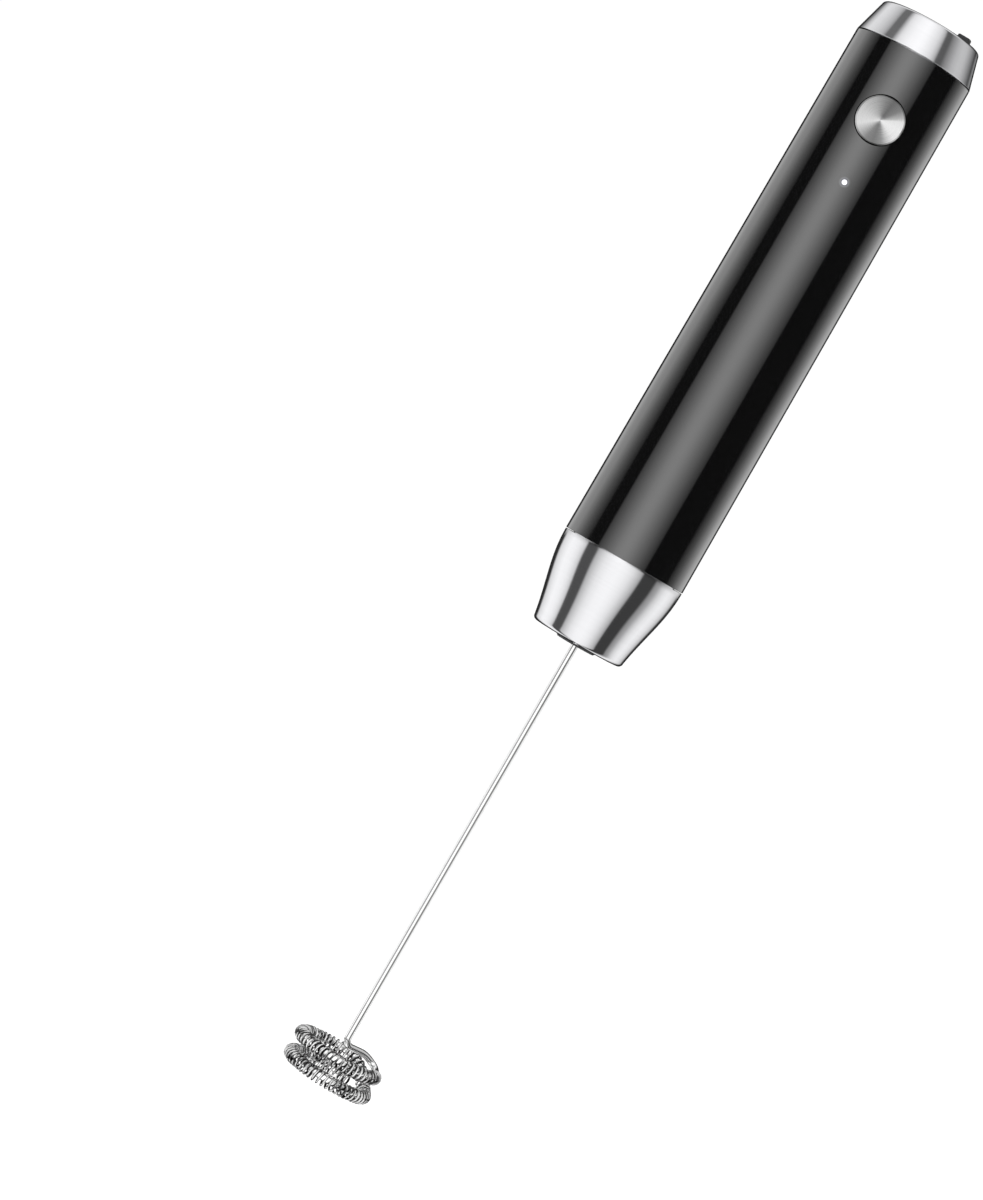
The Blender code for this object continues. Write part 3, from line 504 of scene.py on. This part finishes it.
def makeLights():
    for name, (spot, power) in studio["lights"].items():
        lamp = bpy.data.lights.new(name, "AREA")
        lamp.energy = power
        lamp.size = studio["lightSize"]
        lamp.specular_factor = 0.0
        holder = bpy.data.objects.new(name, lamp)
        holder.location = spot
        aim = Vector(studio["lightsLookAt"]) - Vector(spot)
        holder.rotation_euler = aim.to_track_quat("-Z", "Y").to_euler()
        holder.visible_glossy = False
        bpy.context.scene.collection.objects.link(holder)


bpy.context.scene.view_settings.view_transform = "Standard"
makeCamera()
makeWorld()
makeFloor()
makeLights()
print("studio ready")


barrelLow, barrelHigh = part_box("barrel")
capLow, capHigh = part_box("top_cap")
noseLow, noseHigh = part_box("nose_cone")
discLow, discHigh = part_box("button_disc")
pipeLow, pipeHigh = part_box("led_light_pipe")
chrome = brightChrome()

light = {"radius": 0.65 * mm, "dome": 0.12 * mm, "flange": 1.8 * mm, "flangeDepth": 1.6 * mm}

barrel = {
    "topRadius": 13.2 * mm,
    "wall": 1.6 * mm,
    "seam": 0.15 * mm,         # the frame's barrel stops this far short of each seam
    "seamGap": 0.1 * mm,
    "rimChamfer": 0.06 * mm,
    "steps": 200,
    "bandHeight": 2.4 * mm,
    "wellDepth": 8 * mm,
    "buttonGap": 0.22 * mm,
    "lightGap": 0.12 * mm,
    "spigotGap": 0.3 * mm,     # from the barrel's wall to the spigots of the cap and nose
}


def buildBarrel():
    low = barrelLow.z - barrel["seam"] + barrel["seamGap"]
    high = barrelHigh.z + barrel["seam"] - barrel["seamGap"]
    wide, narrow, cut = barrelHigh.x, barrel["topRadius"], barrel["rimChamfer"]
    count = round((high - low) / barrel["bandHeight"])
    side = [(narrow + (wide - narrow) * i / count,
             high - cut - (high - low - 2 * cut) * i / count) for i in range(count + 1)]
    outline = [(narrow - cut, high), *side, (wide - cut, low), (wide - barrel["wall"], low),
               (narrow - barrel["wall"], high)]
    buttonHeight, lightHeight = (discLow.z + discHigh.z) / 2, (pipeLow.z + pipeHigh.z) / 2
    finish = pianoBlack((0, pipeLow.y, lightHeight))
    piece = keepPiece("barrelShell", spunShape(outline, barrel["steps"]), finish, "handle",
                      ["barrel"])
    for name, height, radius in (("buttonWell", buttonHeight, discHigh.x + barrel["buttonGap"]),
                                 ("lightWell", lightHeight, light["radius"] + barrel["lightGap"])):
        cutter = rodShape(radius, barrel["wellDepth"], 2 * barrel["wellDepth"], 96)
        faceFront(cutter, (0, 0, height))
        cutShape(piece, name, cutter)
    smoothMesh(piece.data)


cap = {
    "edge": 0.8 * mm,
    "topRadius": 11.3 * mm,
    "topRings": (4 * mm, 8 * mm),
    "spigot": 3.0 * mm,
    "spigotWall": 1.0 * mm,
    "wall": 1.7 * mm,
    "ledge": 2.0 * mm,         # where the inside widens, above the seam
    "roof": 2.0 * mm,
    "seamGap": 0.1 * mm,
    "rim": 0.06 * mm,
    "steps": 180,
    "pocketGap": 0.2 * mm,
    "mouthDepth": 5.0 * mm,
    "pocketAbove": 2.0 * mm,   # how far each cutting shape stands out of the top
    "mouthAbove": 1.0 * mm,
}


def stadiumShape(low, high, segments=14):
    shape = bmesh.new()
    bmesh.ops.create_cube(shape, size=1.0)
    size = high - low
    bmesh.ops.scale(shape, verts=shape.verts, vec=size)
    upright = [e for e in shape.edges if abs(e.verts[0].co.z - e.verts[1].co.z) > size.z / 2]
    bmesh.ops.bevel(shape, geom=upright, offset=size.y * 0.4995, offset_type="OFFSET",
                    affect="EDGES", segments=segments, profile=0.5, material=-1)
    bmesh.ops.translate(shape, verts=shape.verts, vec=(low + high) / 2)
    return shape


coverLow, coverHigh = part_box("port_cover")
anchorLow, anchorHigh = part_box("port_cover_anchor")
portLow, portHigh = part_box("usb_port_shell")


def buildCap():
    seam = capLow.z + cap["spigot"]
    bottom = seam + cap["seamGap"]
    top, wide = capHigh.z, capHigh.x
    inner = wide - barrel["wall"] - barrel["spigotGap"]
    edge = arcPoints((cap["topRadius"] - cap["edge"], top - cap["edge"]), cap["edge"], 90, 14, 8)
    rim = cap["rim"]
    lowSide, highSide = Vector((wide, bottom + rim)), Vector(edge[-1])
    side = [tuple(highSide.lerp(lowSide, i / 6)) for i in range(1, 7)]
    outline = [(0, top), *[(r, top) for r in cap["topRings"]], *edge, *side, (wide - rim, bottom),
               (inner, bottom), (inner, capLow.z), (inner - cap["spigotWall"], capLow.z),
               (inner - cap["spigotWall"], seam + cap["ledge"]),
               (cap["topRadius"] - cap["wall"], top - cap["roof"]), (0, top - cap["roof"])]
    piece = keepPiece("capShell", spunShape(outline, cap["steps"], closed=False), chrome, "handle",
                      ["top_cap"])
    gap = cap["pocketGap"]
    margin = Vector((gap, gap, 0))
    pocketLow = Vector((anchorLow.x, coverLow.y, anchorLow.z - gap)) - margin
    pocketHigh = Vector((coverHigh.x, coverHigh.y, top + cap["pocketAbove"])) + margin
    cutShape(piece, "coverPocket", stadiumShape(pocketLow, pocketHigh))
    mouthLow = Vector((portLow.x, portLow.y, top - cap["mouthDepth"])) - margin
    mouthHigh = Vector((portHigh.x, portHigh.y, top + cap["mouthAbove"])) + margin
    cutShape(piece, "portMouth", stadiumShape(mouthLow, mouthHigh))
    smoothMesh(piece.data)


nose = {
    "length": 19.6 * mm,
    "footRadius": 10.5 * mm,
    "corner": 1.0 * mm,
    "hole": 5.1 * mm,
    "holeEdge": 0.2 * mm,
    "floor": 1.8 * mm,
    "bore": [(8.4 * mm, 1.8 * mm), (10.6 * mm, 12 * mm)],     # radius and height inside
    "shoulder": 12.8 * mm,     # how far up the straight side reaches
    "waist": (11.8 * mm, 8.6 * mm),
    "spigotWall": 1.0 * mm,
    "rim": 0.01 * mm,
    "steps": 180,
}


def buildNose():
    low = noseLow.z
    top = low + nose["length"] - barrel["seamGap"]
    wide = noseHigh.x
    spigot = barrelHigh.x - barrel["wall"] - barrel["spigotGap"]
    inner = spigot - nose["spigotWall"]
    corner, foot, hole, edge = nose["corner"], nose["footRadius"], nose["hole"], nose["holeEdge"]
    waistRadius, waistHeight = nose["waist"]
    sweep = bezierPoints((wide, top - nose["rim"]), (wide, low + nose["shoulder"]),
                         (waistRadius, low + waistHeight), (foot, low + corner), 30)
    turn = arcPoints((foot - corner, low + corner), corner, -8, -90, 8)
    outline = [(spigot, noseHigh.z), (spigot, top), (wide - nose["rim"], top), *sweep, *turn,
               (hole + edge, low), (hole, low + edge), (hole, low + nose["floor"]),
               *[(r, low + z) for r, z in nose["bore"]],
               (inner, low + nose["length"]), (inner, noseHigh.z)]
    keepPiece("noseShell", spunShape(outline, nose["steps"]), chrome, "handle",
              ["nose_cone"])


buildBarrel()
buildCap()
buildNose()
print("casing done")


button = {
    "grooves": 44,
    "grooveDepth": 0.004 * mm,
    "chamfer": 0.28 * mm,
    "steps": 128,
}


def buildButton():
    radius = (discHigh.x - discLow.x) / 2
    thick = discHigh.y - discLow.y
    flat = radius - button["chamfer"]
    count = button["grooves"] * 2
    face = [(flat * i / count, thick - button["grooveDepth"] * (i % 2)) for i in range(count + 1)]
    outline = [*face, (radius, thick - button["chamfer"]), (radius, 0.0), (0.0, 0.0)]
    shape = spunShape(outline, button["steps"], closed=False)
    middle = (discLow + discHigh) / 2
    faceFront(shape, (0, discHigh.y, middle.z))
    keepPiece("buttonFace", shape, spunSteel((0, 0, middle.z)), "button",
              ["button_disc"], smoothAngle=30)


def buildLight():
    middle = (pipeLow + pipeHigh) / 2
    length = pipeHigh.y - pipeLow.y
    radius, dome = light["radius"], light["dome"]
    crown = [(radius * math.sin(a), length - dome + dome * math.cos(a))
             for a in [math.radians(90 * i / 8) for i in range(9)]]
    flange, depth = light["flange"], light["flangeDepth"]
    outline = [*crown, (radius, depth), (flange, depth), (flange, 0.0), (0.0, 0.0)]
    shape = spunShape(outline, 40, closed=False)
    faceFront(shape, (0, pipeHigh.y, middle.z))
    keepPiece("lightPipe", shape, glowingLens((0, 0, middle.z)), "handle",
              ["led_light_pipe"], smoothAngle=50)


buildButton()
buildLight()
print("button and light done")


connectorLow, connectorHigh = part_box("whisk_connector")
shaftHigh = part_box("whisk_shaft")[1]

whisk = {
    "wireRadius": 0.75 * mm,
    "springWire": 0.25 * mm,
    "springRadius": 1.6 * mm,
    "ringRadius": 8.8 * mm,
    "pitch": 4.55 * mm,
    "lean": 0.6 * mm,
    "turns": 1.84,
    "stepFrom": 0.79,      # the part of the first loop where the wire steps down
    "stepTo": 0.985,
    "hang": 0.3 * mm,      # the loose spring hangs this far below the wire inside it
    "straightAt": (80 * mm, 50 * mm),      # points of the straight wire between its ends
    "footBend": 1.8 * mm,
    "footRise": 2.45 * mm,
    "footTurn": 18,        # degrees along the ring before the spring starts
    "fallFrom": 0.25,      # the part of the way out where the wire comes down
    "fallTo": 0.95,
    "ringBend": 1.6 * mm,
    "wirePoints": 90,      # round one turn of the ring
    "wireShort": 0.02,     # the wire stops this part of a turn inside the spring
    "coilsPerTurn": 52,
    "coilSteps": 14,
}


def eased(share, start, end):
    step = min(1, max(0, (share - start) / (end - start)))
    return step * step * (3 - 2 * step)


# each loop of the ring leans up towards -X; the first steps down to the second behind +X
def ringPoint(turned, startHeight):
    drop = whisk["pitch"] * eased(turned, whisk["stepFrom"], whisk["stepTo"])
    drop -= whisk["lean"] * (1 - math.cos(2 * math.pi * turned)) / 2
    angle = -2 * math.pi * turned
    radius = whisk["ringRadius"]
    return Vector((radius * math.cos(angle), radius * math.sin(angle), startHeight - drop))


# marks each corner of a wire for painted shade: 1 on the side away from its centre line, 0 on the
# side facing it, which is painted dark
def markPaintedShade(shape, middles, nearest, farthest):
    tree = KDTree(len(middles))
    for i, middle in enumerate(middles):
        tree.insert(middle, i)
    tree.balance()
    layer = shape.verts.layers.float.new("clearOfPaintedShade")
    for vert in shape.verts:
        away = (tree.find(vert.co)[2] - nearest) / (farthest - nearest)
        vert[layer] = min(1.0, max(0.0, away))


# the wire's foot: straight out, round a bend, then along the ring down to the spring
def footRoute(height):
    ring, bend, foot = whisk["ringRadius"], whisk["ringBend"], whisk["footBend"]
    bendX = math.sqrt((ring - bend) ** 2 - bend ** 2)
    joinsAt = math.degrees(math.atan2(bend, bendX))
    plan = [(foot + (bendX - foot) * i / 12, 0) for i in range(12)]
    plan += arcPoints((bendX, -bend), bend, 90, -joinsAt, 12)
    plan += arcPoints((0, 0), ring, -joinsAt, -joinsAt - whisk["footTurn"], 9)[1:]
    walked = [0]
    for here, after in zip(plan, plan[1:]):
        walked.append(walked[-1] + math.dist(here, after))
    route = [Vector((foot - x, 0, height + foot - y))
             for x, y in arcPoints((0, 0), foot, 7.5, 90, 11)]
    for (x, y), way in list(zip(plan, walked))[1:-1]:
        fallen = eased(way / walked[-1], whisk["fallFrom"], whisk["fallTo"])
        route.append(Vector((x, y, height - whisk["footRise"] * fallen)))
    turn = Matrix.Rotation(math.radians(joinsAt + whisk["footTurn"]), 3, "Z")
    return [turn @ point for point in route]


def buildWhisk():
    springStart = whisk["springRadius"] + whisk["pitch"]
    ringStart = springStart + whisk["hang"]
    height = ringStart + whisk["footRise"]
    heights = (shaftHigh.z, *whisk["straightAt"], height + whisk["footBend"])
    route = [Vector((0, 0, z)) for z in heights]
    route += footRoute(height)
    count = round(whisk["wirePoints"] * whisk["turns"])
    turns = whisk["turns"] - whisk["wireShort"]
    route += [ringPoint(turns * i / count, ringStart) for i in range(count + 1)]
    shape = tubeShape("whiskWire", route, whisk["wireRadius"], 6)
    # the whisk wire gets no painted shade
    layer = shape.verts.layers.float.new("clearOfPaintedShade")
    for vert in shape.verts:
        vert[layer] = 1.0
    keepPiece("whiskWire", shape, drawnWire("drawnWire", 0.95, 0.2), "whisk",
              ["whisk_shaft"])

    # each coil of the spring goes round the ring's own path
    reach = whisk["springRadius"] - whisk["springWire"]
    total = round(whisk["coilsPerTurn"] * whisk["turns"] * whisk["coilSteps"])
    middles = [ringPoint(whisk["turns"] * i / total, springStart) for i in range(total + 1)]
    coil = []
    for i, middle in enumerate(middles):
        along = (middles[min(i + 1, total)] - middles[max(i - 1, 0)]).normalized()
        outward = Vector((middle.x, middle.y, 0)).normalized()
        upward = outward.cross(along)
        spin = 2 * math.pi * i / whisk["coilSteps"]
        coil.append(middle + outward * reach * math.cos(spin) + upward * reach * math.sin(spin))
    shape = tubeShape("whiskSpring", coil, whisk["springWire"], 1)
    # painted shade on the inside of the spring's coils
    markPaintedShade(shape, middles, reach - whisk["springWire"] * 0.3, whisk["springRadius"])
    keepPiece("whiskSpring", shape, drawnWire("springWire", 0.86, 0.02), "whisk",
              ["whisk_spring"])


connector = {
    "collarHeight": 6.9 * mm,
    "collarRadius": 4.55 * mm,
    "collarTop": 4.3 * mm,
    "stemRadius": 3.0 * mm,
    "stemTop": 2.8 * mm,
    "edge": 0.35 * mm,
    "fillet": 0.3 * mm,
    "wireGap": 0.02 * mm,
    "boreEdge": 0.25 * mm,
    "boreRoom": 0.2 * mm,      # above the end of the wire
}


def buildConnector():
    low, top = connectorLow.z, connectorHigh.z
    collarTop, boreTop = low + connector["collarHeight"], shaftHigh.z + connector["boreRoom"]
    edge, fillet, boreEdge = connector["edge"], connector["fillet"], connector["boreEdge"]
    bore = whisk["wireRadius"] + connector["wireGap"]
    stemTop, stem = connector["stemTop"], connector["stemRadius"]
    wideTop, wide = connector["collarTop"], connector["collarRadius"]
    outline = [(0, top), (stemTop - edge, top), (stemTop, top - edge),
               (stem, collarTop + fillet), (stem + fillet, collarTop),
               (wideTop - edge, collarTop), (wideTop, collarTop - edge),
               (wide, low + edge), (wide - edge, low),
               (bore + boreEdge, low), (bore, low + boreEdge), (bore, boreTop), (0, boreTop)]
    finish = mouldedPlastic("connectorBlack", (0.022, 0.022, 0.024), 0.42)
    keepPiece("whiskConnector", spunShape(outline, 72, closed=False), finish, "whisk",
              ["whisk_connector"])


buildWhisk()
buildConnector()
print("whisk done")


cover = {
    "thick": 0.9 * mm,
    "rounding": 0.14 * mm,
    "halfWidth": 3.2 * mm,
    "lipLength": 3.4 * mm,
    "lipHeight": 1.3 * mm,
    "lipHalfWidth": 2.0 * mm,
    "lipInset": 0.2 * mm,
    "lipSlope": 0.05 * mm,
    "lipRounding": 0.45 * mm,
    "plugHalf": (3.8 * mm, 0.95 * mm),
    "plugDepth": 1.25 * mm,
    "plugRounding": 0.2 * mm,
    "sunk": 0.3 * mm,          # how far the lip and the plug run into the plate
}


def raisedShape(outline, low, high):
    shape = bmesh.new()
    base = shape.faces.new([shape.verts.new((x, y, low)) for x, y in outline])
    raised = bmesh.ops.extrude_face_region(shape, geom=[base])
    top = [item for item in raised["geom"] if isinstance(item, bmesh.types.BMVert)]
    bmesh.ops.translate(shape, verts=top, vec=(0, 0, high - low))
    bmesh.ops.recalc_face_normals(shape, faces=shape.faces)
    return shape


def buildCover():
    rubber = softRubber()
    middle = (coverLow.y + coverHigh.y) / 2
    half, lipHalf, sunk = cover["halfWidth"], cover["lipHalfWidth"], cover["sunk"]
    top = coverHigh.z - cover["lipHeight"]
    bottom = top - cover["thick"]
    plate = [(coverLow.x, middle - half),
             *arcPoints((coverHigh.x - half, middle), half, -90, 90, 28),
             (coverLow.x, middle + half)]
    lipStart = coverHigh.x - cover["lipLength"]
    lip = [(lipStart, middle - lipHalf),
           *arcPoints((coverHigh.x - half - cover["lipSlope"], middle), half - cover["lipInset"],
                      -40, 40, 14),
           (lipStart, middle + lipHalf)]
    anchor = [(anchorHigh.x, anchorHigh.y),
              *arcPoints((anchorLow.x + half, middle), half, 132, 228, 20),
              (anchorHigh.x, anchorLow.y)]
    plugX, plugY = cover["plugHalf"]
    plug = stadiumShape(Vector((-plugX, middle - plugY, bottom - cover["plugDepth"])),
                        Vector((plugX, middle + plugY, bottom + sunk)))
    for name, shape, rounding, body, stands in (
            ("portCoverPlate", raisedShape(plate, bottom, top), "rounding", "port_cover",
             ["port_cover"]),
            ("portCoverLip", raisedShape(lip, bottom + sunk, coverHigh.z), "lipRounding",
             "port_cover", []),
            ("portCoverPlug", plug, "plugRounding", "port_cover", []),
            ("portCoverAnchor", raisedShape(anchor, anchorLow.z, anchorHigh.z), "rounding",
             "handle", ["port_cover_anchor"])):
        piece = keepPiece(name, shape, rubber, body, stands)
        rounder = piece.modifiers.new("round", "BEVEL")
        rounder.width = cover[rounding]
        rounder.segments = 3
        rounder.limit_method = "ANGLE"
        rounder.angle_limit = math.radians(40)
        rounder.harden_normals = False


buildCover()
print("port cover done")


# gives a finish to pieces that are carried over from the frame
def dress(names, finish):
    for name in names:
        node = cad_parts[name]
        node.data.materials.clear()
        node.data.materials.append(finish)


dress(["button_carrier"], mouldedPlastic("carrierBlack", (0.02, 0.02, 0.022), 0.4))
dress(["tact_plunger"], mouldedPlastic("plungerGrey", (0.45, 0.45, 0.46), 0.45))
dress(["splash_seal", "motor_cradle"], softRubber("sealRubber", 0.03))
dress(["chassis_tray"], mouldedPlastic("trayGrey", (0.16, 0.16, 0.17), 0.5))
dress(["drive_socket"], mouldedPlastic("socketAcetal", (0.72, 0.71, 0.66), 0.4))
dress(["motor_end_cap"], mouldedPlastic("endCapNylon", (0.80, 0.79, 0.74), 0.45))
dress(["tact_switch_base", "charge_chip", "usb_port_tongue"],
      mouldedPlastic("componentBlack", (0.02, 0.02, 0.02), 0.42))
dress(["brush_front", "brush_rear"], mouldedPlastic("brushCarbon", (0.03, 0.03, 0.032), 0.5))
dress(["magnet_left", "magnet_right"], mouldedPlastic("magnetFerrite", (0.05, 0.05, 0.055), 0.6))
dress(["battery_lead_positive", "motor_lead_left"],
      mouldedPlastic("leadRed", (0.42, 0.02, 0.015), 0.5))
dress(["battery_lead_negative", "motor_lead_right"], softRubber("leadBlack", 0.012))
dress(["motor_can", "motor_shaft"], platedMetal("motorSteel", (0.60, 0.61, 0.62), 0.3))
dress(["usb_port_shell", "board_screw_left", "board_screw_right"],
      platedMetal("brightSteel", (0.66, 0.66, 0.67), 0.22))
dress(["battery_tab_positive", "battery_tab_negative"],
      platedMetal("tabNickel", (0.66, 0.62, 0.54)))
dress(["front_bush", "rear_bush"], platedMetal("bushBronze", (0.60, 0.38, 0.18), 0.42, 2400))
dress(["motor_terminal_left", "motor_terminal_right"],
      platedMetal("terminalBrass", (0.82, 0.62, 0.28)))
dress(["commutator"], platedMetal("commutatorCopper", (0.78, 0.42, 0.24), 0.26))
dress(["winding_1", "winding_2", "winding_3"],
      platedMetal("windingCopper", (0.70, 0.30, 0.12), 0.3, 900, (1, 1, 9)))
dress(["armature_core"],
      platedMetal("laminationIron", (0.38, 0.39, 0.40), 0.4, 500, (0.2, 0.2, 12)))
dress(["battery_cell"], mouldedPlastic("cellWrap", (0.03, 0.14, 0.36), 0.3, 0.03))
dress(["circuit_board"], mouldedPlastic("boardGreen", (0.015, 0.13, 0.055), 0.35, 0.05))
dress(["led_package"], mouldedPlastic("ledPhosphor", (0.85, 0.78, 0.45), 0.4))
print("inner pieces dressed")
